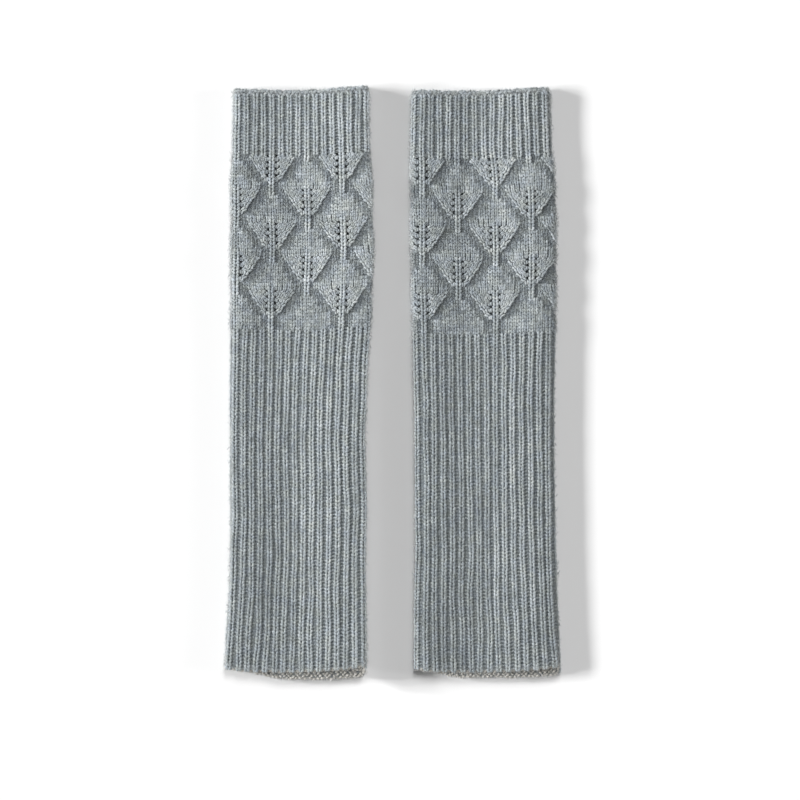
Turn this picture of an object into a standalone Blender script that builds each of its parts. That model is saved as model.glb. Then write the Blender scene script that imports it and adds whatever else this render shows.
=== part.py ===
"""A pair of knitted arm warmers, laid flat side by side.

Each warmer is one knitted tube, pressed flat so that its upper and lower layers lie on each
other. It is worked in three stretches: a short ribbed cuff, a band of raised leaves and a long
ribbed arm. Each stretch is its own solid, a wall all round a slit that is open at both ends.
X runs across the pair, +Y towards the cuff edges, and +Z up from the surface they lie on.
"""
import math
from collections import namedtuple

import bmesh
import bpy

MM = 0.001

# The tubes, in millimetres
LENGTH = 361.0        # cuff edge to hem, along the upper layer
HEM_STEP = 4.0        # how far the lower layer reaches past the upper one at the hem
LAYER_GAP = 0.5       # the slit between the two layers
FOLD_WALL = 3.0       # cloth between the slit's end and the side fold
SEAM_GAP = 0.3        # clearance between neighbouring stretches

# The ribs of the cuff and the arm, which stand up on the upper layer
RIB_FURROWS = 15      # furrows between the two side folds
RIB_DEPTH = 1.1       # crest to furrow
CREST_SHARE = 0.56    # share of one rib and its furrow that is crest
FURROW_SLOPE = 0.14   # share that each side of the furrow takes

# The leaves, which stand in rows, each row half a leaf pitch beside the last
LEAF_PITCH = 44.5     # leaf to leaf in one row
LEAF_DROP = 21.4      # row to row
LEAF_HALF_WIDTH = 15.0
LEAF_HALF_LENGTH = 15.5
LEAF_RISE = 1.2
LEAF_ROWS = 5

# How finely the curved faces are divided
FOLD_STEPS = 4        # round each side fold
LOWER_STEPS = 2       # across the flat underside
LEAF_COLUMNS = 26     # across the leaf band
LEAF_STEP = 7.2       # along the leaf band

YARN_GREY = (0.238, 0.270, 0.278, 1.0)
YARN_ROUGHNESS = 0.9

# One row for each place where the outline changes: the distance down from the cuff edge, how far
# the tube has drifted to the right of its own axis, its width, and the thickness of both layers.
Section = namedtuple("Section", "down drift width thick")

Warmer = namedtuple("Warmer", "name axis_x cuff_end leaf_end leaf_x sections")

LEFT = Warmer(
    name="left", axis_x=-57.5, cuff_end=39.0, leaf_end=147.5, leaf_x=-16.2,
    sections=(
        Section(down=0.0, drift=1.3, width=85.2, thick=6.1),
        Section(down=20.0, drift=1.3, width=85.0, thick=6.5),
        Section(down=39.0, drift=1.3, width=85.8, thick=6.3),
        Section(down=50.0, drift=1.4, width=87.8, thick=6.3),
        Section(down=100.0, drift=1.9, width=89.0, thick=6.3),
        Section(down=147.5, drift=1.1, width=87.4, thick=6.3),
        Section(down=170.0, drift=0.1, width=86.4, thick=6.5),
        Section(down=218.0, drift=-1.0, width=84.6, thick=6.5),
        Section(down=258.0, drift=-0.4, width=85.6, thick=6.5),
        Section(down=296.0, drift=-1.0, width=85.2, thick=6.5),
        Section(down=330.0, drift=-1.5, width=87.2, thick=6.5),
        Section(down=361.0, drift=-2.5, width=90.2, thick=6.1)))

RIGHT = Warmer(
    name="right", axis_x=57.5, cuff_end=41.5, leaf_end=150.5, leaf_x=6.4,
    sections=(
        Section(down=0.0, drift=-2.6, width=86.2, thick=6.1),
        Section(down=20.0, drift=-2.5, width=87.0, thick=6.5),
        Section(down=41.5, drift=-2.4, width=88.0, thick=6.3),
        Section(down=52.0, drift=-1.4, width=90.4, thick=6.3),
        Section(down=100.0, drift=-0.9, width=90.9, thick=6.3),
        Section(down=150.5, drift=-0.6, width=89.0, thick=6.3),
        Section(down=192.0, drift=-0.6, width=87.2, thick=6.5),
        Section(down=241.0, drift=-0.2, width=86.8, thick=6.5),
        Section(down=280.0, drift=0.3, width=87.4, thick=6.5),
        Section(down=318.0, drift=0.6, width=89.2, thick=6.5),
        Section(down=361.0, drift=1.6, width=92.0, thick=6.1)))

CUFF_EDGE_Y = (LENGTH + HEM_STEP) / 2


def clear_scene():
    """Removes every object, so that the file holds only the part."""
    for obj in list(bpy.data.objects):
        bpy.data.objects.remove(obj, do_unlink=True)


def wool(name):
    """Soft grey wool yarn."""
    material = bpy.data.materials.new(name)
    material.use_nodes = True
    shader = material.node_tree.nodes["Principled BSDF"]
    shader.inputs["Base Color"].default_value = YARN_GREY
    shader.inputs["Roughness"].default_value = YARN_ROUGHNESS
    shader.inputs["Metallic"].default_value = 0.0
    material.diffuse_color = YARN_GREY
    return material


def section_at(sections, down):
    """The section at any distance from the cuff edge, read between the table's rows."""
    for above, below in zip(sections, sections[1:]):
        if down <= below.down:
            share = (down - above.down) / (below.down - above.down)
            mixed = [a + (b - a) * share for a, b in zip(above, below)]
            return Section(*mixed)
    return sections[-1]


def rib_profile():
    """Across the upper layer from fold to fold: pairs of (share of the way, depth below the
    crest), with a crest at each fold."""
    repeat = 1.0 / (RIB_FURROWS + CREST_SHARE)
    corners = ((0.0, 0.0), (CREST_SHARE, 0.0),
               (CREST_SHARE + FURROW_SLOPE, RIB_DEPTH), (1.0 - FURROW_SLOPE, RIB_DEPTH))
    profile = [((rib + across) * repeat, depth) for rib in range(RIB_FURROWS)
               for across, depth in corners]
    return profile + [(RIB_FURROWS * repeat, 0.0), (1.0, 0.0)]


def leaf_rise(x, below_band_top, warmer):
    """Height of the nearest leaves over the ground of the band, as soft oval domes."""
    rise = 0.0
    for row in range(LEAF_ROWS):
        middle = (row + 0.5) * LEAF_DROP
        start = warmer.leaf_x + (row % 2) * LEAF_PITCH / 2
        across = (x - start + LEAF_PITCH / 2) % LEAF_PITCH - LEAF_PITCH / 2
        along = below_band_top - middle
        reach = math.hypot(across / LEAF_HALF_WIDTH, along / LEAF_HALF_LENGTH)
        if reach < 1.0:
            rise = max(rise, LEAF_RISE * (1.0 + math.cos(math.pi * reach)) / 2)
    return rise


def upper_rib(section, down, warmer):
    """The ribbed upper layer as (x, z) points from the left fold to the right one."""
    span = section.width - section.thick
    return [((share - 0.5) * span, section.thick - depth) for share, depth in rib_profile()]


def upper_leaf(section, down, warmer):
    """The leaf band's upper layer as (x, z) points from the left fold to the right one."""
    span = section.width - section.thick
    xs = [(column / LEAF_COLUMNS - 0.5) * span for column in range(LEAF_COLUMNS + 1)]
    depth = down - warmer.cuff_end
    inner = [(x, section.thick + leaf_rise(x, depth, warmer)) for x in xs[1:-1]]
    return [(xs[0], section.thick)] + inner + [(xs[-1], section.thick)]


def outer_ring(section, upper):
    """The whole outside as (x, z) points: upper layer, right fold, underside, left fold."""
    radius = section.thick / 2
    fold_x = section.width / 2 - radius
    turns = [math.pi * step / FOLD_STEPS for step in range(1, FOLD_STEPS)]
    right = [(fold_x + radius * math.sin(a), radius + radius * math.cos(a)) for a in turns]
    under = [(fold_x * (1 - 2 * step / LOWER_STEPS), 0.0) for step in range(LOWER_STEPS + 1)]
    left = [(-x, z) for x, z in reversed(right)]
    return upper + right + under + left


def slit_ring(section):
    """The slit between the layers as (x, z) points, pointed at both side folds."""
    tip = section.width / 2 - FOLD_WALL
    half = LAYER_GAP / 2
    middle = section.thick / 2
    flat = tip - LAYER_GAP
    return [(-tip, middle), (-flat, middle + half), (flat, middle + half),
            (tip, middle), (flat, middle - half), (-flat, middle - half)]


def place_ring(bm, ring, section, down):
    """Adds one ring's points. The hem slants, so that its lower layer reaches further."""
    step = HEM_STEP if down == LENGTH else 0.0
    points = []
    for x, z in ring:
        y = CUFF_EDGE_Y - down - step * (1 - z / section.thick)
        points.append(bm.verts.new(((x + section.drift) * MM, y * MM, z * MM)))
    return points


def skin(bm, rings):
    """Joins each ring of points to the next with a band of faces."""
    for ring, following in zip(rings, rings[1:]):
        for i, point in enumerate(ring):
            j = (i + 1) % len(ring)
            bm.faces.new((point, ring[j], following[j], following[i]))


def close_end(bm, outer, slit):
    """Fills the flat end face between the outside and the slit."""
    edges = []
    for ring in (outer, slit):
        for i, point in enumerate(ring):
            edges.append(bm.edges.get((point, ring[(i + 1) % len(ring)])))
    bmesh.ops.triangle_fill(bm, use_beauty=True, use_dissolve=False, edges=edges)


def stretch(warmer, name, downs, upper):
    """One stretch of a warmer: a closed wall through a ring at each distance in downs."""
    bm = bmesh.new()
    outside = []
    slits = []
    for down in downs:
        section = section_at(warmer.sections, down)
        ring = outer_ring(section, upper(section, down, warmer))
        outside.append(place_ring(bm, ring, section, down))
        slits.append(place_ring(bm, slit_ring(section), section, down))
    skin(bm, outside)
    skin(bm, slits)
    close_end(bm, outside[0], slits[0])
    close_end(bm, outside[-1], slits[-1])
    bmesh.ops.recalc_face_normals(bm, faces=bm.faces)
    node = f"{warmer.name}_{name}"
    mesh = bpy.data.meshes.new(node)
    bm.to_mesh(mesh)
    bm.free()
    mesh.materials.append(wool(f"{node}_wool"))
    obj = bpy.data.objects.new(node, mesh)
    bpy.context.collection.objects.link(obj)
    return obj


def rows_between(warmer, start, end):
    """The distances of the table's rows inside a stretch, with the stretch's own two ends."""
    inside = [s.down for s in warmer.sections if start < s.down < end]
    return [start] + inside + [end]


def steps_between(start, end, step):
    """Even distances from start to end, about one step apart."""
    count = round((end - start) / step)
    return [start + (end - start) * i / count for i in range(count + 1)]


def build_warmer(warmer):
    """The three stretches of one warmer, hung on an empty on the tube's own axis."""
    half_gap = SEAM_GAP / 2
    cuff_end = warmer.cuff_end
    leaf_end = warmer.leaf_end
    pieces = [
        stretch(warmer, "cuff_rib", rows_between(warmer, 0.0, cuff_end - half_gap), upper_rib),
        stretch(warmer, "leaf_band",
                steps_between(cuff_end + half_gap, leaf_end - half_gap, LEAF_STEP), upper_leaf),
        stretch(warmer, "arm_rib", rows_between(warmer, leaf_end + half_gap, LENGTH), upper_rib)]
    axis = bpy.data.objects.new(f"{warmer.name}_warmer", None)
    bpy.context.collection.objects.link(axis)
    axis.location.x = warmer.axis_x * MM
    for piece in pieces:
        piece.parent = axis


def build():
    clear_scene()
    for warmer in (LEFT, RIGHT):
        build_warmer(warmer)


build()
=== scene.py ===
"""The pair of knitted arm warmers as they look: yarn, stitches, nap, paper, light and camera.

Every stitch is laid as yarn. A chart says what each of the 64 stitches round a warmer does in
each course, springs settle the stitches as the wool would, and the settled stitches are laid
over the flattened tube whose outline the plain solids give. Lengths are in millimetres until a
mesh is made.
"""
import math
from collections import namedtuple

import bpy
import numpy as np
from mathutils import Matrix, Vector


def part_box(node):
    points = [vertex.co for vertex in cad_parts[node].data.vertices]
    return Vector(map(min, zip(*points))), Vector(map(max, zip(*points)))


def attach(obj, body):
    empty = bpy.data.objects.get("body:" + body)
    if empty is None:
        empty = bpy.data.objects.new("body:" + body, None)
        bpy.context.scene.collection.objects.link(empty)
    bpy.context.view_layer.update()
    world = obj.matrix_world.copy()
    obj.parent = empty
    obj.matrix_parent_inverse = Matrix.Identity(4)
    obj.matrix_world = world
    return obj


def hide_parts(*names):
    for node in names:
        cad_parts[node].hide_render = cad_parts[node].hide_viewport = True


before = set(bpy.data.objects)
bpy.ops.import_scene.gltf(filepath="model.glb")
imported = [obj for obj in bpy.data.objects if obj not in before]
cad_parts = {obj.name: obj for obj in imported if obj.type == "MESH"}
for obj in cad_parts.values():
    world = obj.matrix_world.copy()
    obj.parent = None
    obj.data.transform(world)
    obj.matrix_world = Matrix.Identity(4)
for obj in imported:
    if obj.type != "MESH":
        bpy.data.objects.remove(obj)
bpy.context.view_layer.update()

MM = 0.001

# The knitting
WALES = 64            # stitches round a warmer
WALE = 2.78           # stitch to stitch along a course
LEAF_WALES = 16       # one leaf repeat round the tube
LEAF_COURSES = 10     # one row of leaves
STEM_COURSES = 4      # plain courses under the lowest leaves
EYELET_PAIRS = 4      # holes up each side of a leaf's spine
STEM_START = 6        # course of a leaf row where the next row's stems rise out of the ground
SPINE_COURSES = 9     # courses of its own row that a spine shows for
ARM_COURSES = 5       # courses over which a leaf's edge stands up before it fades into the rest

# Each stretch from the hem up: its courses, how many of them one row of its wall's faces spans,
# how much lighter its wool is, how mottled, and how many more hairs stand off it at the folds
Stretch = namedtuple("Stretch", "name courses shell_step tone mottle fold_hairs")
STRETCHES = (
    Stretch(name="arm_rib", courses=98, shell_step=3, tone=-0.05, mottle=0.03, fold_hairs=9.0),
    Stretch(name="leaf_band", courses=52, shell_step=1, tone=-0.08, mottle=0.07, fold_hairs=26.0),
    Stretch(name="cuff_rib", courses=20, shell_step=2, tone=0.00, mottle=0.04, fold_hairs=18.0))

# How the yarn lies in each kind of stitch: the height of its middle over the cloth's ground, how
# wide and how thick the yarn is, how far its two legs stand apart at the foot and the head, how
# wide the stitch is beside a plain one, and how much lighter it is drawn. That tone is painted
# light and shade: a painted highlight on the raised arms, spines and leaves, and painted shade
# on the sunk ground, hollows and purl stitches.
Look = namedtuple("Look", "lift wide thick foot head pull tone")
LOOKS = {
    "rib_knit": Look(0.75, 0.94, 0.58, foot=0.50, head=1.42, pull=1.00, tone=-0.01),
    "rib_purl": Look(-0.35, 0.50, 0.45, foot=0.00, head=0.00, pull=1.00, tone=-0.06),
    "ground": Look(-0.20, 0.55, 0.50, foot=0.00, head=0.00, pull=0.92, tone=-0.26),
    "hollow": Look(-0.05, 0.80, 0.50, foot=0.40, head=1.08, pull=1.00, tone=-0.20),
    "dome": Look(0.40, 0.90, 0.46, foot=0.40, head=1.16, pull=1.04, tone=-0.02),
    "leaf": Look(0.55, 0.72, 0.50, foot=0.46, head=0.74, pull=1.00, tone=0.05),
    "arm": Look(0.90, 0.74, 0.58, foot=0.54, head=0.96, pull=0.96, tone=0.14),
    "arm_tip": Look(0.65, 0.74, 0.50, foot=0.50, head=0.90, pull=0.98, tone=0.07),
    "spine": Look(1.10, 0.94, 0.66, foot=0.56, head=1.44, pull=1.10, tone=0.10),
    "bound_off": Look(0.30, 0.60, 0.60, foot=0.00, head=0.00, pull=1.00, tone=-0.04),
    "eyelet": Look(0.10, 0.32, 0.30, foot=0.00, head=0.00, pull=1.25, tone=0.00)}
KINDS = list(LOOKS)
LOOK = {field: np.array([getattr(look, field) for look in LOOKS.values()])
        for field in Look._fields}

# The tubes
GROUND_DEPTH = 1.5    # from the crests of the stitches down to the cloth's ground
WALL = 1.0            # the cloth under the stitches
WALL_DROP = 0.45      # how far its upper side lies under the ground
CLOTH_PAINTED_SHADE = 0.22     # painted shade: the cloth's tone, darker than the stitches that it shows between
LEVEL = 0.2           # how high the cloth lies where it doesn't swell, as in the ribs
SWELLING = {"ground": -0.7, "hollow": -0.3, "eyelet": 0.0, "rib_knit": LEVEL, "rib_purl": LEVEL}
SOFTENING_ROUNDS = 3

# Each warmer: where its first spine is, how far it is turned, how its edges tilt and sag, how much
# shorter it is at the cuff, how long the lower layer's lip is, where across that starts, and how
# thick the warmer lies
Warmer = namedtuple("Warmer", "name first_spine turn tilt sag short lip lip_from thick seed")
WARMERS = (
    Warmer(name="left", first_spine=10, turn=-0.7, tilt=0.9, sag=2.3, short=0.0, lip=4.8,
           lip_from=-0.72, thick=6.9, seed=11),
    Warmer(name="right", first_spine=2, turn=0.5, tilt=0.9, sag=1.9, short=0.8, lip=3.8,
           lip_from=-0.9, thick=6.5, seed=23))
HEM_RISE = 4.3        # how far the upper layer stops short of the lower one at the hem
LIP_SPREAD = 0.5      # share of half the width over which that lip comes out
LIP_FALL = 0.4        # how much further it hangs at the right fold
CORNER_DROP = 0.9     # how far the edges round off where the tube folds
CORNER_SHARPNESS = 12
LIP_REACH = 45.0      # length over which the lower layer draws ahead


def linear(code):
    """An sRGB hex colour as the linear colour a shader takes."""
    channels = [int(code[i:i + 2], 16) / 255 for i in (1, 3, 5)]
    curve = [c / 12.92 if c <= 0.04045 else ((c + 0.055) / 1.055) ** 2.4 for c in channels]
    return (*curve, 1.0)


def add(tree, kind, inputs=(), **settings):
    """Adds a node. An input's value is a number, a colour or another node's output."""
    made = tree.nodes.new(kind)
    for name, value in settings.items():
        setattr(made, name, value)
    for key, value in dict(inputs).items():
        if isinstance(value, bpy.types.NodeSocket):
            tree.links.new(value, made.inputs[key])
        else:
            made.inputs[key].default_value = value
    return made


# ---------------------------------------------------------------- the chart

def leaf_chart(first_spine):
    """What each stitch of the leaf band is, and the column above that it is knitted into.

    In each row of leaves the stitches beside the spine move out by one column at every pair of
    eyelets, and the arm at the leaf's edge swallows the stitch that it moves on to."""
    courses = STRETCHES[1].courses
    kinds = np.empty((courses, WALES), dtype=int)
    above = np.tile(np.arange(WALES), (courses, 1))
    for course in range(courses):
        row, step = divmod(course - STEM_COURSES, LEAF_COURSES)
        spine = first_spine + (row % 2) * LEAF_WALES // 2
        grown = min((step + 1) // 2, EYELET_PAIRS)
        opens = step % 2 == 1 and step < 2 * EYELET_PAIRS
        opens_next = step % 2 == 0 and step < 2 * EYELET_PAIRS
        for column in range(WALES):
            aside = (column - spine + LEAF_WALES // 2) % LEAF_WALES - LEAF_WALES // 2
            out = abs(aside)
            to_next = LEAF_WALES // 2 - out
            kinds[course, column] = KINDS.index(
                leaf_stitch(row, step, grown, opens, out, to_next, aside > 0))
            if row >= 0 and opens_next and 1 <= out <= grown + 1:
                above[course, column] = (column + (1 if aside > 0 else -1)) % WALES
    return kinds, above


def leaf_stitch(row, step, grown, opens, out, to_next, on_right):
    """The kind of one stitch, by its distance from this row's spine and from the next row's."""
    if to_next == 0 and step >= STEM_START:
        return "spine"
    if to_next in (1, 2) and step >= STEM_START:
        return "ground" if to_next == 1 else "hollow"
    if row < 0:
        return "dome"
    if out == 0:
        return "spine" if step < SPINE_COURSES else "dome"
    if out == 1 and opens:
        return "eyelet"
    if out <= grown:
        return "leaf"
    if step >= 2 * EYELET_PAIRS:
        return "dome"
    if out == grown + 1:
        return "arm" if step < ARM_COURSES else "arm_tip"
    if out == grown + 2:
        return "ground" if on_right or step < ARM_COURSES else "hollow"
    if out == grown + 3:
        return "ground" if on_right else "hollow"
    return "hollow" if on_right and out == grown + 4 else "dome"


def warmer_chart(warmer):
    """The chart of a whole warmer from the hem up: ribs, leaves, ribs."""
    kinds = []
    above = []
    rib = [KINDS.index("rib_knit" if column % 2 == 0 else "rib_purl") for column in range(WALES)]
    for stretch in STRETCHES:
        if stretch.name == "leaf_band":
            leaf_kinds, leaf_above = leaf_chart(warmer.first_spine)
            kinds.append(leaf_kinds)
            above.append(leaf_above)
        else:
            kinds.append(np.tile(rib, (stretch.courses, 1)))
            above.append(np.tile(np.arange(WALES), (stretch.courses, 1)))
    kinds[-1][-1] = KINDS.index("bound_off")
    return np.concatenate(kinds), np.concatenate(above)


# ---------------------------------------------------------------- settling the stitches

TONE_RUN = 0.80       # share of its tone that a stitch takes from the one below it
TONE_SPREAD = 0.05    # of the streaks up the wales
FACE_PAINTED_SHADE = 0.08     # painted shade and highlight: how much the colour lightens from the left part of a face to the right
FACE_SHADE_SHIFT = 0.07     # how far that change is moved to the left
WANDER = 0.50         # how far stitches stray sideways
WANDER_COURSES = 11
SETTLE_STEPS = 800
PINNED_COURSES = 7    # rib courses beyond the leaf band that the settling may still move
SPRING = 0.14         # share of its stretch that the yarn takes back in one step
STRAIGHTEN = 0.03     # how far a course straightens itself in one step


def settle(kinds, above, heights, v_rest):
    """Lets springs along the courses and up the wales find where each stitch lies.

    Returns the place round the tube and the place along it, both for every stitch."""
    courses = len(kinds)
    u = np.tile(np.arange(WALES) * WALE, (courses, 1)).astype(float)
    v = np.repeat(v_rest[:, None], WALES, axis=1)
    pull = LOOK["pull"][kinds]
    beside_rest = WALE * (pull + np.roll(pull, -1, axis=1)) / 2
    beside_rest *= WALE * WALES / beside_rest.sum(axis=1, keepdims=True)
    rows = np.arange(courses - 1)[:, None]
    target = above[:-1]
    seam = WALES * WALE
    first = STRETCHES[0].courses - PINNED_COURSES
    last = STRETCHES[0].courses + STRETCHES[1].courses + PINNED_COURSES
    free = np.zeros((courses, 1))
    free[first:last] = 1.0
    rest_up = ((heights[1:] + heights[:-1]) / 2)[:, None]
    for _ in range(SETTLE_STEPS):
        move_u = np.zeros_like(u)
        move_v = np.zeros_like(v)
        du = np.roll(u, -1, axis=1) - u
        du[:, -1] += seam
        dv = np.roll(v, -1, axis=1) - v
        length = np.hypot(du, dv)
        give = SPRING * (length - beside_rest) / length
        move_u += give * du - np.roll(give * du, 1, axis=1)
        move_v += give * dv - np.roll(give * dv, 1, axis=1)
        move_v += STRAIGHTEN * (dv - np.roll(dv, 1, axis=1))
        du = u[rows + 1, target] - u[:-1]
        du = (du + seam / 2) % seam - seam / 2
        dv = v[rows + 1, target] - v[:-1]
        length = np.hypot(du, dv)
        give = SPRING * (length - rest_up) / length
        move_u[:-1] += give * du
        move_v[:-1] += give * dv
        np.add.at(move_u, (rows + 1, target), -give * du)
        np.add.at(move_v, (rows + 1, target), -give * dv)
        u += free * move_u
        v += free * move_v
    return u, v


# ---------------------------------------------------------------- the flattened tube

OUTLINE_STEP = 2.0
OUTLINE_SMOOTHING = 9
SLIT_INSET = 2.4          # points further inside the fold than this belong to the slit
SLIT_SEARCH = 30.0        # length over which the outline changes by less than that
BULGE = 0.20              # how much thicker a warmer is where its upper layer stands highest
BULGE_AT = 0.72           # where that is, from the middle towards the right fold
BULGE_REACH = 0.34
DIP = 0.16                # how much thinner it is where the upper layer sags, left of the middle
DIP_AT = -0.12
DIP_REACH = 0.40
FOLD_THIN = 0.22          # how much thinner it is at its folds
FOLD_SHARPNESS = 8
FOLD_PRESS = 0.7          # how far the stitches even out to one height where the tube folds
FOLD_LIFT = 0.8           # that height


class Tube:
    """The flattened tube of one warmer: places a stitch round and along it in the frame."""

    def __init__(self, warmer):
        self.warmer = warmer
        rows = {}
        for stretch in STRETCHES:
            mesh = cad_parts[f"{warmer.name}_{stretch.name}"].data
            for vertex in mesh.vertices:
                row = round(vertex.co.y / MM / OUTLINE_STEP)
                rows.setdefault(row, []).append(vertex.co.x / MM)
        found = sorted(rows)
        ys = np.array(found) * OUTLINE_STEP
        self.ys = np.arange(ys[0], ys[-1] + OUTLINE_STEP, OUTLINE_STEP)
        self.left = -self.fold(ys, [-min(rows[row]) for row in found])
        self.right = self.fold(ys, [max(rows[row]) for row in found])
        boxes = [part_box(f"{warmer.name}_{stretch.name}") for stretch in STRETCHES]
        self.hem = boxes[0][0].y / MM + HEM_RISE + warmer.sag
        self.joins = [self.hem]
        self.joins += [(a[1].y + b[0].y) / 2 / MM for a, b in zip(boxes, boxes[1:])]
        self.joins += [boxes[-1][1].y / MM - warmer.short]

    def fold(self, ys, reach):
        """How far out a side fold lies all along, from the rows that have points on it."""
        reach = np.array(reach)
        near = np.abs(ys[:, None] - ys) < SLIT_SEARCH
        furthest = np.where(near, reach, reach.min()).max(axis=1)
        on_fold = reach > furthest - SLIT_INSET
        return self.smooth(np.interp(self.ys, ys[on_fold], reach[on_fold]))

    @staticmethod
    def smooth(values):
        kernel = np.hanning(OUTLINE_SMOOTHING + 2)[1:-1]
        padded = np.pad(values, OUTLINE_SMOOTHING // 2, mode="edge")
        return np.convolve(padded, kernel / kernel.sum(), mode="valid")

    def place(self, u, v, lift, stand=0.0):
        """Frame positions and outward directions for places u round and v along the tube.

        The folds press the yarn flat but don't press what stands off it."""
        warmer = self.warmer
        left = np.interp(v, self.ys, self.left)
        right = np.interp(v, self.ys, self.right)
        bend = warmer.thick / 2 - GROUND_DEPTH
        flat = (right - left) / 2 - GROUND_DEPTH - bend
        quarter = math.pi * bend / 2
        around = 4 * flat + 4 * quarter
        p = ((u / WALE + warmer.turn) / WALES % 1.0) * around
        upper = quarter + 2 * flat
        under = upper + 2 * quarter
        last = under + 2 * flat
        angle = np.select(
            [p < quarter, p < upper, p < under, p < last],
            [p / bend - math.pi / 2, 0 * p, (p - upper) / bend, 0 * p + math.pi],
            (p - last) / bend + math.pi)
        along = np.select(
            [p < quarter, p < upper, p < under, p < last],
            [-flat, p - quarter - flat, flat, flat - (p - under)], -flat)
        nx = np.sin(angle)
        nz = np.cos(angle)
        lift = lift + FOLD_PRESS * nx ** 2 * (FOLD_LIFT - lift) + stand
        x = along + nx * (bend + lift)
        z = warmer.thick / 2 + nz * (bend + lift)
        share = np.clip(x / (flat + bend), -1.0, 1.0)
        z *= 1 + BULGE * np.exp(-((share - BULGE_AT) / BULGE_REACH) ** 2)
        z *= 1 - DIP * np.exp(-((share - DIP_AT) / DIP_REACH) ** 2)
        z *= 1 - FOLD_THIN * share ** FOLD_SHARPNESS
        y = v + warmer.tilt * share + warmer.sag * (share ** 2 - 1)
        middle = (self.hem + self.joins[-1]) / 2
        y -= np.sign(v - middle) * CORNER_DROP * np.abs(share) ** CORNER_SHARPNESS
        near_hem = np.clip(1 - (v - self.hem) / LIP_REACH, 0.0, 1.0) ** 2
        lip = np.clip((share - warmer.lip_from) / LIP_SPREAD, 0.0, 1.0)
        lip *= 1 + LIP_FALL * np.clip(share, 0.0, 1.0)
        y -= warmer.lip * near_hem * lip * (1 - nz) / 2
        point = np.stack([x + (left + right) / 2, y, z], axis=-1)
        outward = np.stack([nx, 0 * nx, nz], axis=-1)
        return point, outward


# ---------------------------------------------------------------- yarn

# Rings are the place along the length and the share of the full radius
Strand = namedtuple("Strand", "name sides rings tip_drop")
UPPER_YARN = Strand(name="upper_yarn", sides=5, rings=((-0.34, 0.95), (0.34, 0.95)), tip_drop=0.9)
UNDER_YARN = Strand(name="under_yarn", sides=3, rings=((0.0, 1.1),), tip_drop=0.5)
SIDE_TURN = 0.25          # how far the strand's first side is turned, as a share of one side

HAIR_RADIUS = 0.03        # thicker than a wool hair, as each stands for a few
EDGE_RADIUS = 0.035
HAIR_LENGTH = 1.8
LENGTH_SPREAD = 0.35
LONGEST_HAIR = 3.0
HAIR_RISE = 2.5           # the most that a hair stands off the yarn
HAIR_BOWS = (0.05, 0.22)  # how far it bows, as a share of its length
HAIR_SPAN = (0.1, 0.9)    # the part of a leg that hairs grow from
HAIR_SEAT = 0.7           # how far out of the yarn's middle, as a share of its thickness
HAIR_SUNK = 0.2           # how far its foot is sunk in
HAIR_TONE = 0.12          # how much lighter than the yarn
HAIR_MOTTLE = 0.15        # how much hairs differ in tone
STRAY_SHARE = 0.03
STRAY_LENGTH = 2.0        # how many times as long a stray hair is
HAIRS_PER_LEG = 1.3       # on a leg of yarn in the open face
NAP_STEEP = 0.18          # how steeply a hair stands off, as a share of its length
FOLD_STEEP = 0.55
EDGE_FACING = 0.75        # how far a stitch faces sideways to count as on the fold
RIM_HAIRS = 12.0          # how many more hairs stand at the open ends, on the lip and at corners
LIP_HAIRS = 18.0
CORNER_HAIRS = 4.0
RIM_REACH = 3.0           # stitches this near to the open ends count as on the rim
UNDER_LIMIT = -1.0        # sum of the two outward heights below which a stitch lies underneath
NAP_LIMIT = -0.4          # outward height down to which hairs are laid


def yarn_leg(strand):
    """A short length of yarn along Y, one long and one in radius, whose ends dive down."""
    points = [(0.0, -0.5, -strand.tip_drop)]
    for along, radius in strand.rings:
        for side in range(strand.sides):
            angle = 2 * math.pi * (side + SIDE_TURN) / strand.sides
            points.append((radius * math.sin(angle), along, radius * math.cos(angle)))
    points.append((0.0, 0.5, -strand.tip_drop))
    end = len(points) - 1
    faces = []
    for side in range(strand.sides):
        after = (side + 1) % strand.sides
        faces.append((0, 1 + after, 1 + side))
        for ring in range(len(strand.rings) - 1):
            a = 1 + ring * strand.sides
            b = a + strand.sides
            faces.append((a + side, a + after, b + after, b + side))
        last = end - strand.sides
        faces.append((end, last + side, last + after))
    return unplaced(strand.name, points, faces)


def wool_hair():
    """One hair along Y, one long and bowed up in the middle, drawn out thin to both ends."""
    points = [(0.0, -0.5, 0.0), (0.0, 0.5, 0.0), (-1.0, 0.0, 1.0), (1.0, 0.0, 1.0)]
    faces = [(0, 3, 2), (1, 2, 3), (0, 1, 3), (0, 2, 1)]
    return unplaced("wool_hair", points, faces)


def unplaced(name, points, faces):
    """A shape that the node tree lays many times, and that isn't shown itself."""
    mesh = bpy.data.meshes.new(name)
    mesh.from_pydata(points, [], faces)
    mesh.update()
    return bpy.data.objects.new(name, mesh)


# The links of yarn along the open ends. Each row is its distance in from the edge, and its lift.
# Inside the hem the links are drawn wider, as felted, and their grey is mixed towards a lighter,
# warmer grey: painted light on the lower layer's lip, which the upper layer shades
LINK_LENGTH = 2.3
LINK_LEAN = 0.6
LINK_WIDE = 0.68
LINK_THICK = 0.60
LINK_STRAY = 0.25
LINK_MOTTLE = 0.20
FELTED = 0.50             # how much wider a felted link is
INSIDE_PAINTED_LIGHT = 0.07        # painted light: how much lighter the lip's links are for each mm in from the edge, under the upper layer's edge
Chain = namedtuple("Chain", "rows inwards tone worn")
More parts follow.
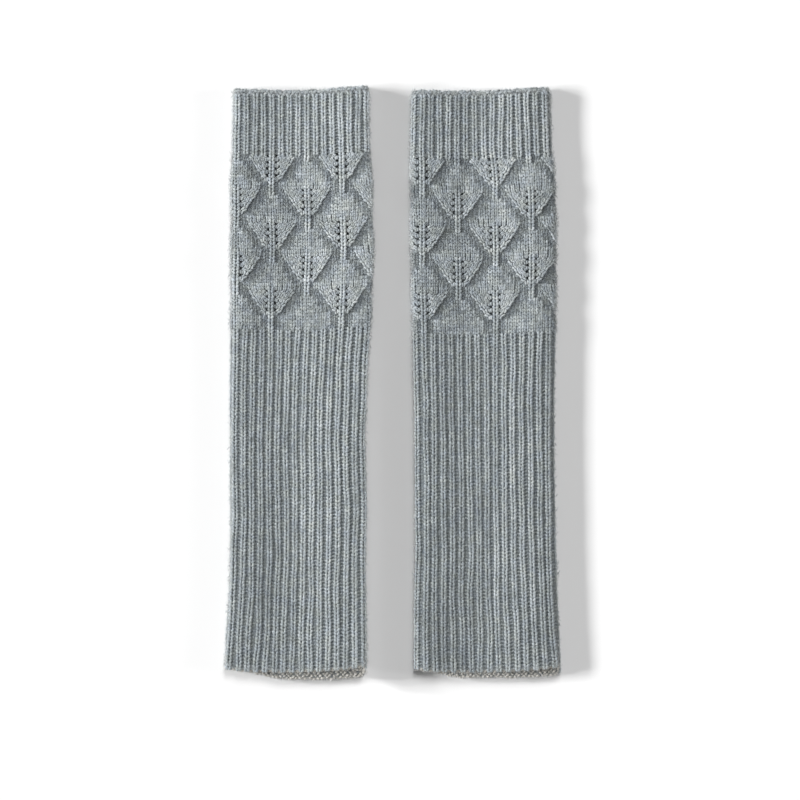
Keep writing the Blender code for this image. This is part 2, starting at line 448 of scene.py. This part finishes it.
# Painted light: the hem's links get a lighter tone than the cuff's, as the lip lies in shade
HEM_CHAIN = Chain(
    rows=((0.3, -0.9), (0.3, -1.7), (1.5, -1.8), (2.7, -1.8), (3.9, -1.8), (5.1, -1.8), (6.3, -1.8)),
    inwards=1.0, tone=0.58, worn=0.75)
CUFF_CHAIN = Chain(
    rows=((0.2, -0.9), (0.3, -0.1), (1.3, 0.4), (2.4, 0.4)), inwards=-1.0, tone=0.34, worn=0.0)
EDGE_INSET = 0.6          # how far the cloth wall stops short of an edge's chain
INNER_LIFT = -1.5         # yarn lower than this shows on the inside of the tube

# A leg of a knit stitch, as shares of the way from its own stitch to the one above
FOOT_AT = 0.05
HEAD_AT = 1.30
FOOT_DIP = 0.05           # how much lower its foot lies

# Bars of yarn across the wale: on which kinds, how far up the course and how far to each side
Bar = namedtuple("Bar", "kinds up reach")
BARS = (
    Bar(kinds=("rib_purl", "ground", "bound_off"), up=0.0, reach=0.56),
    Bar(kinds=("ground",), up=0.5, reach=0.5),
    Bar(kinds=("eyelet",), up=0.5, reach=0.55))
BAR_LEAN = 0.16

# A knitted warmer: a row for each course and a column for each wale, but one height a course
Fabric = namedtuple("Fabric", "kinds above heights u v tone ground")

# Short lengths of yarn or hair, with a value for each in every column
Legs = namedtuple(
    "Legs", "foot_u foot_v foot_lift head_u head_v head_lift stand wide thick tone worn course")


def stitch_legs(fabric):
    """The yarn of every stitch, as legs from a foot to a head on the tube's surface."""
    found = []
    seam = WALES * WALE
    lift = LOOK["lift"][fabric.kinds] + fabric.ground
    # Each kind's tone is its painted highlight or painted shade, added to the stitch's own tone
    tone = fabric.tone + LOOK["tone"][fabric.kinds]
    for course in range(len(fabric.kinds)):
        below = max(course - 1, 0)
        foot_u = fabric.u[below]
        if course == 0:
            heads = np.arange(WALES)
            foot_v = fabric.v[0] - fabric.heights[0]
            swallowed = np.zeros(WALES, dtype=bool)
        else:
            heads = fabric.above[below]
            foot_v = fabric.v[below]
            counts = np.bincount(heads, minlength=WALES)
            swallowed = (counts[heads] > 1) & (heads == np.arange(WALES))
        du = (fabric.u[course][heads] - foot_u + seam / 2) % seam - seam / 2
        dv = fabric.v[course][heads] - foot_v
        length = np.hypot(du, dv)
        side_u, side_v = dv / length, -du / length
        kind = fabric.kinds[course][heads]
        head_lift = lift[course][heads]
        foot_lift = (lift[below] + head_lift) / 2
        shade = tone[course][heads]
        keep = (LOOK["foot"][kind] > 0) & ~swallowed
        for side in (-1, 1):
            foot_out = side * LOOK["foot"][kind]
            head_out = side * LOOK["head"][kind]
            found.append(Legs(
                (foot_u + FOOT_AT * du + side_u * foot_out)[keep],
                (foot_v + FOOT_AT * dv + side_v * foot_out)[keep],
                foot_lift[keep] - FOOT_DIP,
                (foot_u + HEAD_AT * du + side_u * head_out)[keep],
                (foot_v + HEAD_AT * dv + side_v * head_out)[keep],
                head_lift[keep], 0 * head_lift[keep],
                LOOK["wide"][kind][keep], LOOK["thick"][kind][keep],
                shade[keep], 0 * shade[keep], np.full(keep.sum(), course)))
        for bar in BARS:
            found.append(purl_bars(fabric, lift, tone, course, bar))
    return join(*found)


def purl_bars(fabric, lift, tone, course, bar):
    """The short bars of yarn that lie across the wales of one course, as a purl stitch shows."""
    chosen = np.isin(fabric.kinds[course], [KINDS.index(name) for name in bar.kinds])
    kind = fabric.kinds[course][chosen]
    middle_u = fabric.u[course][chosen]
    middle_v = fabric.v[course][chosen] + bar.up * fabric.heights[course]
    sense = np.where(np.flatnonzero(chosen) % 4 < 2, 1, -1)
    lean = BAR_LEAN * fabric.heights[course] * sense
    height = lift[course][chosen]
    return Legs(
        middle_u - bar.reach * WALE, middle_v - lean, height,
        middle_u + bar.reach * WALE, middle_v + lean, height, 0 * middle_v,
        LOOK["wide"][kind], LOOK["thick"][kind], tone[course][chosen], 0 * middle_v,
        np.full(chosen.sum(), course))


def edge_chain(chain, v_edge, seed):
    """The small links of yarn along an open end."""
    rng = np.random.default_rng(seed)
    half = LINK_LENGTH / 2
    lean = half * LINK_LEAN * np.where(np.arange(WALES) % 2, 1, -1)
    even = 1 - chain.worn / 2
    parts = []
    for row, (inset, lift) in enumerate(chain.rows):
        u = (np.arange(WALES) + row / 2) * WALE + rng.normal(0.0, LINK_STRAY, WALES)
        v = v_edge + chain.inwards * inset + rng.normal(0.0, LINK_STRAY, WALES)
        height = lift + rng.normal(0.0, LINK_STRAY * even, WALES)
        # Painted light, stronger further in under the upper layer's edge
        lighter = chain.worn * INSIDE_PAINTED_LIGHT * inset
        shade = rng.normal(chain.tone + lighter, LINK_MOTTLE * even, WALES)
        parts.append(Legs(
            u - half, v - lean, height, u + half, v + lean, height, 0 * u,
            np.full(WALES, LINK_WIDE + chain.worn * FELTED), np.full(WALES, LINK_THICK), shade,
            np.full(WALES, chain.worn), np.zeros(WALES, dtype=int)))
    return join(*parts)


def join(*groups):
    """Groups of legs as one group."""
    return Legs(*(np.concatenate(columns) for columns in zip(*groups)))


# ---------------------------------------------------------------- the node tree for what repeats

def laying_tree():
    """Lays a shape on each point, by the point's direction, its outward side and its size.

    The stitches of the side that the warmer lies on get the plainer shape."""
    tree = bpy.data.node_groups.new("lay_on_points", "GeometryNodeTree")
    for name, kind in (("Points", "Geometry"), ("Shape", "Object"), ("Under shape", "Object"),
                       ("Wool", "Material")):
        tree.interface.new_socket(name, in_out="INPUT", socket_type=f"NodeSocket{kind}")
    tree.interface.new_socket("Laid", in_out="OUTPUT", socket_type="NodeSocketGeometry")
    given = add(tree, "NodeGroupInput")
    read = "GeometryNodeInputNamedAttribute"
    along = add(tree, read, {"Name": "along"}, data_type="FLOAT_VECTOR")
    outward = add(tree, read, {"Name": "outward"}, data_type="FLOAT_VECTOR")
    size = add(tree, read, {"Name": "size"}, data_type="FLOAT_VECTOR")
    under = add(tree, read, {"Name": "under"}, data_type="BOOLEAN")
    upper = add(tree, "FunctionNodeBooleanMath", {0: under.outputs["Attribute"]}, operation="NOT")
    turn = add(tree, "FunctionNodeAxesToRotation",
               {"Primary Axis": along.outputs["Attribute"],
                "Secondary Axis": outward.outputs["Attribute"]},
               primary_axis="Y", secondary_axis="Z")
    both = add(tree, "GeometryNodeJoinGeometry")
    for shape, chosen in (("Shape", upper.outputs["Boolean"]),
                          ("Under shape", under.outputs["Attribute"])):
        one = add(tree, "GeometryNodeObjectInfo", {"Object": given.outputs[shape]})
        laid = add(tree, "GeometryNodeInstanceOnPoints",
                   {"Points": given.outputs["Points"], "Selection": chosen,
                    "Instance": one.outputs["Geometry"], "Rotation": turn.outputs["Rotation"],
                    "Scale": size.outputs["Attribute"]})
        tree.links.new(laid.outputs["Instances"], both.inputs["Geometry"])
    solid = add(tree, "GeometryNodeRealizeInstances", {"Geometry": both.outputs["Geometry"]})
    shaded = add(tree, "GeometryNodeSetShadeSmooth", {"Geometry": solid.outputs["Geometry"]})
    in_wool = add(tree, "GeometryNodeSetMaterial",
                  {"Geometry": shaded.outputs["Geometry"], "Material": given.outputs["Wool"]})
    add(tree, "NodeGroupOutput", {"Laid": in_wool.outputs["Geometry"]})
    return tree


def grown(name, points, tree, values):
    """Runs a node tree on a mesh and returns what it makes as a plain mesh object."""
    source = bpy.data.objects.new(f"{name}_source", points)
    bpy.context.scene.collection.objects.link(source)
    modifier = source.modifiers.new("grow", "NODES")
    modifier.node_group = tree
    for socket in tree.interface.items_tree:
        if socket.item_type == "SOCKET" and socket.name in values:
            modifier[socket.identifier] = values[socket.name]
    depsgraph = bpy.context.evaluated_depsgraph_get()
    mesh = bpy.data.meshes.new_from_object(
        source.evaluated_get(depsgraph), preserve_all_data_layers=True, depsgraph=depsgraph)
    bpy.data.objects.remove(source)
    mesh.name = name
    obj = bpy.data.objects.new(name, mesh)
    bpy.context.scene.collection.objects.link(obj)
    return obj


YARN_LOOSE = 0.08         # how far a leg of yarn strays from its place
TURN_LOOSE = 1.6          # how much further its ends stray, which turns it
YARN_SWELL = 0.07         # how much legs differ in thickness


def press_flat(mesh):
    """Flattens what would sink under the surface that the warmers lie on."""
    points = np.empty(len(mesh.vertices) * 3, dtype=np.float32)
    mesh.vertices.foreach_get("co", points)
    points[2::3] = np.maximum(points[2::3], 0.0)
    mesh.vertices.foreach_set("co", points)
    mesh.update()


def store(mesh, name, kind, values):
    """Stores an attribute for every point of a mesh."""
    field = "vector" if kind == "FLOAT_VECTOR" else "value"
    number = bool if kind == "BOOLEAN" else np.float32
    made = mesh.attributes.new(name, kind, "POINT")
    made.data.foreach_set(field, np.ascontiguousarray(values, dtype=number).ravel())


def lay(name, tube, legs, tree, shapes, material, loose, seed):
    """Lays yarn or hairs along the legs as one mesh. Loose is how far each strays."""
    rng = np.random.default_rng(seed)
    foot, foot_out = tube.place(legs.foot_u, legs.foot_v, legs.foot_lift)
    head, head_out = tube.place(legs.head_u, legs.head_v, legs.head_lift, legs.stand)
    along = head - foot
    outward = foot_out + head_out
    swell = rng.normal(1.0, YARN_SWELL, len(foot))
    mesh = bpy.data.meshes.new(f"{name}_points")
    mesh.from_pydata(((foot + head) / 2 + rng.normal(0.0, loose, foot.shape)) * MM, [], [])
    store(mesh, "along", "FLOAT_VECTOR", along + rng.normal(0.0, TURN_LOOSE * loose, foot.shape))
    store(mesh, "outward", "FLOAT_VECTOR", outward)
    size = [legs.wide * swell, np.linalg.norm(along, axis=1), legs.thick * swell]
    store(mesh, "size", "FLOAT_VECTOR", np.stack(size, axis=1) * MM)
    store(mesh, "under", "BOOLEAN", outward[:, 2] < UNDER_LIMIT)
    store(mesh, "tone", "FLOAT", legs.tone)
    store(mesh, "worn", "FLOAT", legs.worn)
    made = grown(name, mesh, tree,
                 {"Shape": shapes[0], "Under shape": shapes[1], "Wool": material})
    for spare in ("along", "outward", "size", "under"):
        if spare in made.data.attributes:
            made.data.attributes.remove(made.data.attributes[spare])
    press_flat(made.data)
    return made


def nap(tube, legs, fold_hairs, seed):
    """The short hairs that stand off the yarn, a few long stray ones, and more at the edges."""
    rng = np.random.default_rng(seed)
    middle_u = (legs.foot_u + legs.head_u) / 2
    middle_v = (legs.foot_v + legs.head_v) / 2
    _, outward = tube.place(middle_u, middle_v, 0 * middle_u)
    inner = (legs.head_lift < INNER_LIFT) & (outward[:, 2] < 0)
    upper = (outward[:, 2] > NAP_LIMIT) | inner
    fold = np.abs(outward[:, 0]) > EDGE_FACING
    rim = np.minimum(middle_v - tube.joins[0], tube.joins[-1] - middle_v) < RIM_REACH
    more = np.where(fold & rim, CORNER_HAIRS, np.maximum(fold_hairs * fold, RIM_HAIRS * rim))
    more = np.where(rim & inner, LIP_HAIRS, more)
    share = upper * (1.0 + more)
    count = int(HAIRS_PER_LEG * share.sum())
    root = rng.choice(len(share), count, p=share / share.sum())
    edge = (fold | rim)[root]
    at = rng.uniform(*HAIR_SPAN, count)
    foot_u = legs.foot_u[root] + at * (legs.head_u - legs.foot_u)[root]
    foot_v = legs.foot_v[root] + at * (legs.head_v - legs.foot_v)[root]
    side = np.where(inner[root], -1, 1)
    lift = legs.head_lift[root] + side * HAIR_SEAT * legs.thick[root]
    length = HAIR_LENGTH * np.exp(rng.normal(0.0, LENGTH_SPREAD, count))
    stray = rng.random(count) < STRAY_SHARE
    length[stray & ~edge] *= STRAY_LENGTH
    length = np.minimum(length, LONGEST_HAIR)
    heading = rng.uniform(0.0, 2 * math.pi, count)
    steep = np.where(fold[root], FOLD_STEEP, NAP_STEEP)
    rise = np.minimum(np.abs(rng.normal(0.0, 1.0, count)) * steep * length, HAIR_RISE)
    return Legs(
        foot_u, foot_v, lift - HAIR_SUNK * side,
        foot_u + length * np.cos(heading), foot_v + length * np.sin(heading), lift, side * rise,
        np.where(edge, EDGE_RADIUS, HAIR_RADIUS), rng.uniform(*HAIR_BOWS, count) * length,
        np.clip(legs.tone[root] + rng.normal(HAIR_TONE, HAIR_MOTTLE, count), 0, 1),
        legs.worn[root], legs.course[root])


# ---------------------------------------------------------------- the cloth under the stitches

def cloth_wall(name, tube, fabric, stretch, first, v_low, v_high, material):
    """The thin wall of a stretch, with its eyelets open, as a closed shell."""
    last = first + stretch.courses
    rows = list(range(first, last, stretch.shell_step)) + [last]
    points = []
    for row in rows:
        lower = max(row - 1, first)
        upper = min(row, last - 1)
        mean_u = (fabric.u[lower] + fabric.u[upper]) / 2
        mean_v = (fabric.v[lower] + fabric.v[upper]) / 2
        if row == first:
            mean_v[:] = v_low
        if row == last:
            mean_v[:] = v_high
        mean_lift = (fabric.ground[lower] + fabric.ground[upper]) / 2 - WALL_DROP
        before = np.roll(mean_u, 1)
        before[0] -= WALES * WALE
        place, _ = tube.place((mean_u + before) / 2, (mean_v + np.roll(mean_v, 1)) / 2,
                              (mean_lift + np.roll(mean_lift, 1)) / 2)
        points.append(place)
    faces = []
    hole = KINDS.index("eyelet")
    for band, row in enumerate(rows[:-1]):
        for column in range(WALES):
            if stretch.shell_step == 1 and fabric.kinds[row, column] == hole:
                continue
            after = (column + 1) % WALES
            a, b = band * WALES, (band + 1) * WALES
            faces.append((a + column, a + after, b + after, b + column))
    mesh = bpy.data.meshes.new(name)
    mesh.from_pydata(np.concatenate(points) * MM, [], faces)
    mesh.shade_smooth()
    mesh.materials.append(material)
    # The cloth only shows in the gaps between stitches: its darker tone is painted shade there
    store(mesh, "tone", "FLOAT", np.full(len(mesh.vertices), CLOTH_PAINTED_SHADE))
    obj = bpy.data.objects.new(name, mesh)
    bpy.context.scene.collection.objects.link(obj)
    wall = obj.modifiers.new("wall", "SOLIDIFY")
    wall.thickness = WALL * MM
    wall.offset = -1.0
    return obj


# ---------------------------------------------------------------- wool

# Wool spun from grey and white hairs, knitted and lightly brushed. The mixed hairs give a fine
# salt-and-pepper grain, and the brushed surface gives a matt, soft look: rough, with hardly any
# mirror light, a weak sheen at grazing angles and light that spreads under the surface.
FIBRE_GRAIN = 1.0         # a wool hair is 0.02 mm: drawn coarser, so that the grain shows
FIBRE_SHARE = 0.8         # how much of the grain is added to a stitch's own tone
TONE_RANGE = (0.30, 1.50)
TONE_STOPS = (0.15, 0.50, 0.85)
BLEND_PATCH = 6.0         # length over which the blend of dyed hairs changes
BLEND_STOPS = (0.35, 0.65)
GRAIN_HEIGHT = 0.3
SOFT_DEPTH = 1.6          # how far light spreads under the surface


def wool(name, dark, mid, light, cool, warm, worn):
    """Heathered wool, whose grey comes from each stitch's tone and the grain. On the hem's lip its
    colour is mixed towards one even, lighter and warmer grey, which is painted light."""
    material = bpy.data.materials.new(name)
    material.use_nodes = True
    tree = material.node_tree
    tree.nodes.clear()
    tone = add(tree, "ShaderNodeAttribute", attribute_name="tone")
    place = add(tree, "ShaderNodeTexCoord")
    fibre = add(tree, "ShaderNodeTexNoise",
                {"Vector": place.outputs["Object"], "Scale": 1 / (FIBRE_GRAIN * MM),
                 "Detail": 2.0, "Roughness": 0.6})
    mixed = add(tree, "ShaderNodeMath",
                {0: fibre.outputs["Fac"], 1: FIBRE_SHARE, 2: tone.outputs["Fac"]},
                operation="MULTIPLY_ADD")
    shade = add(tree, "ShaderNodeMapRange",
                {"Value": mixed.outputs[0], "From Min": TONE_RANGE[0], "From Max": TONE_RANGE[1]})
    ramp = add(tree, "ShaderNodeValToRGB", {"Fac": shade.outputs[0]})
    set_stops(ramp, TONE_STOPS, (dark, mid, light))
    blend = add(tree, "ShaderNodeTexNoise",
                {"Vector": place.outputs["Object"], "Scale": 1 / (BLEND_PATCH * MM),
                 "Detail": 3.0, "Roughness": 0.7})
    tint = add(tree, "ShaderNodeValToRGB", {"Fac": blend.outputs["Fac"]})
    set_stops(tint, BLEND_STOPS, (cool, warm))
    tinted = add(tree, "ShaderNodeMix",
                 {"Factor": 1.0, "A": ramp.outputs["Color"], "B": tint.outputs["Color"]},
                 data_type="RGBA", blend_type="MULTIPLY")
    # Painted light: the lip's colour is mixed towards a lighter, warmer grey
    painted_light_share = add(tree, "ShaderNodeAttribute", attribute_name="worn")
    colour = add(tree, "ShaderNodeMix",
                 {"Factor": painted_light_share.outputs["Fac"], "A": tinted.outputs["Result"],
                  "B": linear(worn)}, data_type="RGBA")
    bump = add(tree, "ShaderNodeBump",
               {"Height": fibre.outputs["Fac"], "Strength": 0.35, "Distance": GRAIN_HEIGHT * MM})
    shader = add(tree, "ShaderNodeBsdfPrincipled",
                 {"Base Color": colour.outputs["Result"], "Normal": bump.outputs["Normal"],
                  "Roughness": 0.9, "Sheen Weight": 0.25, "Sheen Roughness": 0.4,
                  "Specular IOR Level": 0.2, "Subsurface Weight": 0.7,
                  "Subsurface Radius": (1.0, 1.0, 1.0), "Subsurface Scale": SOFT_DEPTH * MM})
    add(tree, "ShaderNodeOutputMaterial", {"Surface": shader.outputs["BSDF"]})
    return material


def set_stops(ramp, positions, codes):
    """Sets a colour ramp's stops to hex colours, in order."""
    stops = ramp.color_ramp.elements
    for _ in range(len(positions) - 2):
        stops.new(0.5)
    for stop, position, code in zip(stops, positions, codes):
        stop.position, stop.color = position, linear(code)


# ---------------------------------------------------------------- the pieces

def heather(rng, turn):
    """A tone for every stitch: streaks that drift up the wales, a little of its own, and a painted
    shade and highlight that changes broadly across each face of the tube."""
    per_stretch = [stretch.courses for stretch in STRETCHES]
    base = np.repeat([stretch.tone for stretch in STRETCHES], per_stretch)[:, None]
    mottle = np.repeat([stretch.mottle for stretch in STRETCHES], per_stretch)[:, None]
    courses = sum(per_stretch)
    loose = rng.normal(0.0, 1.0, (courses, WALES))
    streak = loose.copy()
    for course in range(1, courses):
        streak[course] = TONE_RUN * streak[course - 1] + (1 - TONE_RUN ** 2) ** 0.5 * loose[course]
    own = rng.normal(0.0, 1.0, streak.shape)
    share = 4 * (np.arange(WALES) + turn) / WALES - 1
    # Painted shade and highlight: darker and lighter parts across each face, as light falls on it
    broad = FACE_PAINTED_SHADE * np.sin(math.pi * (share + FACE_SHADE_SHIFT))
    return np.clip(0.5 + base + broad + TONE_SPREAD * streak + mottle * own, 0.0, 1.0)


def wander(rng, courses):
    """How far each stitch strays sideways, so that no rib runs quite straight."""
    knots = rng.normal(0.0, 1.0, (courses // WANDER_COURSES + 3, WALES))
    knots = (knots + np.roll(knots, 1, axis=1) + np.roll(knots, -1, axis=1)) / 3
    at = np.arange(courses) / WANDER_COURSES
    low = at.astype(int)
    share = (1 - np.cos(math.pi * (at - low)))[:, None] / 2
    return WANDER * ((1 - share) * knots[low] + share * knots[low + 1])


def swelling(kinds):
    """How far the cloth swells outwards under each stitch, softened over its neighbours."""
    puff = np.ones(kinds.shape)
    for name, height in SWELLING.items():
        puff[kinds == KINDS.index(name)] = height
    for _ in range(SOFTENING_ROUNDS):
        rows = np.pad(puff, ((1, 1), (0, 0)), mode="edge")
        puff = (rows[:-2] + 2 * rows[1:-1] + rows[2:]) / 4
        puff = (np.roll(puff, 1, axis=1) + 2 * puff + np.roll(puff, -1, axis=1)) / 4
    return puff - LEVEL


def knitted(warmer, tube):
    """The whole fabric of one warmer, settled and toned."""
    kinds, above = warmer_chart(warmer)
    heights = []
    v_rest = []
    for stretch, low, high in zip(STRETCHES, tube.joins, tube.joins[1:]):
        height = (high - low) / stretch.courses
        heights += [height] * stretch.courses
        v_rest += [low + (course + 0.5) * height for course in range(stretch.courses)]
    heights = np.array(heights)
    u, v = settle(kinds, above, heights, np.array(v_rest))
    rng = np.random.default_rng(warmer.seed)
    tone = heather(rng, warmer.turn)
    u = u + wander(rng, len(kinds))
    return Fabric(kinds, above, heights, u, v, tone, swelling(kinds))


def knit_warmer(warmer, tree, yarns, hair, material):
    """All the pieces of one warmer: for each stretch its cloth wall, its stitches and its nap."""
    tube = Tube(warmer)
    fabric = knitted(warmer, tube)
    legs = stitch_legs(fabric)
    first = 0
    for index, stretch in enumerate(STRETCHES):
        node = f"{warmer.name}_{stretch.name}"
        at_hem = index == 0
        at_cuff = index == len(STRETCHES) - 1
        low, high = tube.joins[index], tube.joins[index + 1]
        cloth = cloth_wall(f"{node}_cloth", tube, fabric, stretch, first,
                           low + EDGE_INSET * at_hem, high - EDGE_INSET * at_cuff, material)
        chosen = (legs.course >= first) & (legs.course < first + stretch.courses)
        part = Legs(*(column[chosen] for column in legs))
        if at_hem:
            part = join(part, edge_chain(HEM_CHAIN, low, warmer.seed + 1))
        if at_cuff:
            part = join(part, edge_chain(CUFF_CHAIN, high, warmer.seed + 2))
        seed = warmer.seed + 10 * index
        yarn = lay(f"{node}_stitches", tube, part, tree, yarns, material, YARN_LOOSE, seed)
        hairs = nap(tube, part, stretch.fold_hairs, seed + 5)
        fuzz = lay(f"{node}_nap", tube, hairs, tree, (hair, hair), material, 0.0, seed + 6)
        fuzz.visible_shadow = False
        for piece in (cloth, yarn, fuzz):
            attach(piece, "root")
        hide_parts(node)
        first += stretch.courses


# ---------------------------------------------------------------- floor, light and camera

# What the camera takes in, in metres
VIEW_WIDTH = 0.4947
VIEW_CENTRE = (0.00495, -0.0108)
CAMERA_HEIGHT = 3.0
SENSOR = 36.0             # but this in millimetres, as lenses are
FLOOR_REACH = 2.5


def lamp(name, kind, towards, lit, how, cards=(), away=0.0, **settings):
    """A lamp that lights only the given object with INCLUDE, or all but it with EXCLUDE. The given
    cards throw no shadow in its light."""
    data = bpy.data.lights.new(name, kind)
    for field, value in settings.items():
        setattr(data, field, value)
    obj = bpy.data.objects.new(name, data)
    obj.location = -Vector(towards).normalized() * away
    obj.rotation_mode = "QUATERNION"
    obj.rotation_quaternion = Vector(towards).to_track_quat("-Z", "Y")
    obj.visible_camera = False
    bpy.context.scene.collection.objects.link(obj)
    group = bpy.data.collections.new(f"{name}_links")
    group.objects.link(lit)
    obj.light_linking.receiver_collection = group
    group.collection_objects[0].light_linking.link_state = how
    if cards:
        unseen = bpy.data.collections.new(f"{name}_cards")
        for index, strip in enumerate(cards):
            unseen.objects.link(strip)
            unseen.collection_objects[index].light_linking.link_state = "EXCLUDE"
        obj.light_linking.blocker_collection = unseen


# The gap's card goes on past the hem, where it turns in and tapers, so that its shadow fades out
CARD_TOP = 12.0
CARD_FOOT = 0.3
CARD_TUCK = 2.0           # along the fold its foot is this far below the warmer's top
CARD_FALL = 11.0          # how far it reaches past the hem
CARD_TURN = 0.2           # how fast it turns in there
CARD_LEVEL = 2.0          # how far it runs on past the lip before it tapers
CARD_SLOPE = 1.5          # how fast its top and its foot then close in
HEM_CARD_TOP = 5.3
HEM_CARD_INSET = 0.8
FACING_UP = 0.5           # the tube's skin is its top where it points up more than this


def slant(elevation, along, side=1):
    """The direction of light from the left, or from the right with side -1, at an elevation in
    degrees. Along is how much of it runs up the warmers, from hem to cuff."""
    angle = math.radians(elevation)
    return (side * math.cos(angle), along, -math.sin(angle))


def card(name, xs, ys, lows, highs):
    """A strip of card on edge, which the camera doesn't see, to keep light off the paper."""
    points = [(x * MM, y * MM, low * MM) for x, y, low in zip(xs, ys, lows)]
    points += [(x * MM, y * MM, high * MM) for x, y, high in zip(xs, ys, highs)]
    faces = [(i, i + 1, i + 1 + len(xs), i + len(xs)) for i in range(len(xs) - 1)]
    mesh = bpy.data.meshes.new(name)
    mesh.from_pydata(points, [], faces)
    made = bpy.data.objects.new(name, mesh)
    made.visible_camera = False
    bpy.context.scene.collection.objects.link(made)
    return made


def shading_cards():
    """One card along the left warmer's right fold, so that the low window light doesn't reach
    the gap between the two, and one under each hem, so that none comes through between its
    stitches."""
    tube = Tube(WARMERS[0])
    ys = np.arange(tube.hem - CARD_FALL, tube.joins[-1], 1.0)
    beyond = np.maximum(tube.hem - tube.warmer.lip - ys, 0.0)
    xs = np.interp(ys, tube.ys, tube.right) - CARD_TURN * beyond
    taper = CARD_SLOPE * np.maximum(beyond - CARD_LEVEL, 0.0)
    lows = np.where(ys < tube.hem, CARD_FOOT + taper, tube.warmer.thick - CARD_TUCK)
    cards = [card("gap_card", xs, ys, lows, np.maximum(CARD_TOP - taper, lows))]
    for warmer in WARMERS:
        tube = Tube(warmer)
        u = np.arange(0.0, WALES, 0.5) * WALE
        edge, outward = tube.place(u, np.full(len(u), tube.hem + HEM_CARD_INSET), 0 * u)
        under = edge[outward[:, 2] < FACING_UP]
        under = under[np.argsort(under[:, 0])]
        cards.append(card(f"{warmer.name}_hem_card", under[:, 0], under[:, 1],
                          np.full(len(under), CARD_FOOT), np.full(len(under), HEM_CARD_TOP)))
    return cards


def stage():
    """White paper under the pair, the lamps with their cards, and the camera overhead."""
    mesh = bpy.data.meshes.new("floor")
    mesh.from_pydata([(-FLOOR_REACH, -FLOOR_REACH, 0), (FLOOR_REACH, -FLOOR_REACH, 0),
                      (FLOOR_REACH, FLOOR_REACH, 0), (-FLOOR_REACH, FLOOR_REACH, 0)],
                     [], [(0, 1, 2, 3)])
    floor = bpy.data.objects.new("floor", mesh)
    bpy.context.scene.collection.objects.link(floor)
    # Matt uncoated paper: fully rough, with no mirror light at all
    material = bpy.data.materials.new("matt_white_paper")
    material.use_nodes = True
    shader = material.node_tree.nodes["Principled BSDF"]
    shader.inputs["Base Color"].default_value = linear("#f2f2f2")
    shader.inputs["Roughness"].default_value = 1.0
    shader.inputs["Specular IOR Level"].default_value = 0.0
    mesh.materials.append(material)

    world = bpy.data.worlds.new("white_room")
    world.use_nodes = True
    sky = world.node_tree.nodes["Background"]
    sky.inputs["Color"].default_value = (1.0, 1.0, 1.0, 1.0)
    sky.inputs["Strength"].default_value = 0.18
    bpy.context.scene.world = world

    cards = shading_cards()
    for name, along in (("upper_pane", -0.20), ("middle_pane", -0.06), ("lower_pane", 0.08)):
        lamp(name, "SUN", slant(13.9, along), floor, "INCLUDE",
             energy=2.42, angle=math.radians(6.0))
    lamp("top_light", "SUN", (-0.12, -0.75, -0.64), floor, "INCLUDE", cards[:1],
         energy=1.80, angle=math.radians(32.0))
    lamp("right_fill", "SUN", slant(10.0, 0.0, side=-1), floor, "INCLUDE",
         energy=1.25, angle=math.radians(8.0))
    lamp("soft_box", "AREA", slant(42.0, -0.30), floor, "EXCLUDE", cards, away=1.6,
         energy=26.0, size=1.0)
    lamp("side_light", "SUN", slant(14.0, -0.10), floor, "EXCLUDE", cards,
         energy=0.50, angle=math.radians(20.0))
    lamp("room_glow", "SUN", (0.0, 0.0, -1.0), floor, "EXCLUDE", cards,
         energy=1.16, angle=math.radians(150.0))

    lens = bpy.data.cameras.new("overhead")
    lens.type = "PERSP"
    lens.sensor_width = SENSOR
    lens.lens = SENSOR * CAMERA_HEIGHT / VIEW_WIDTH
    lens.clip_end = 10.0
    camera = bpy.data.objects.new("overhead", lens)
    camera.location = (*VIEW_CENTRE, CAMERA_HEIGHT)
    bpy.context.scene.collection.objects.link(camera)
    bpy.context.scene.camera = camera
    bpy.context.scene.view_settings.view_transform = "Standard"


stage()
laying = laying_tree()
yarns = (yarn_leg(UPPER_YARN), yarn_leg(UNDER_YARN))
hair = wool_hair()
# The last colour is the painted light on the hem's lip
grey_wool = wool("heathered_grey_wool", dark="#747a7d", mid="#a9b0b3", light="#d8dddf",
                 cool="#f8faff", warm="#fffef8", worn="#cac5bc")
for warmer in WARMERS:
    knit_warmer(warmer, laying, yarns, hair, grey_wool)
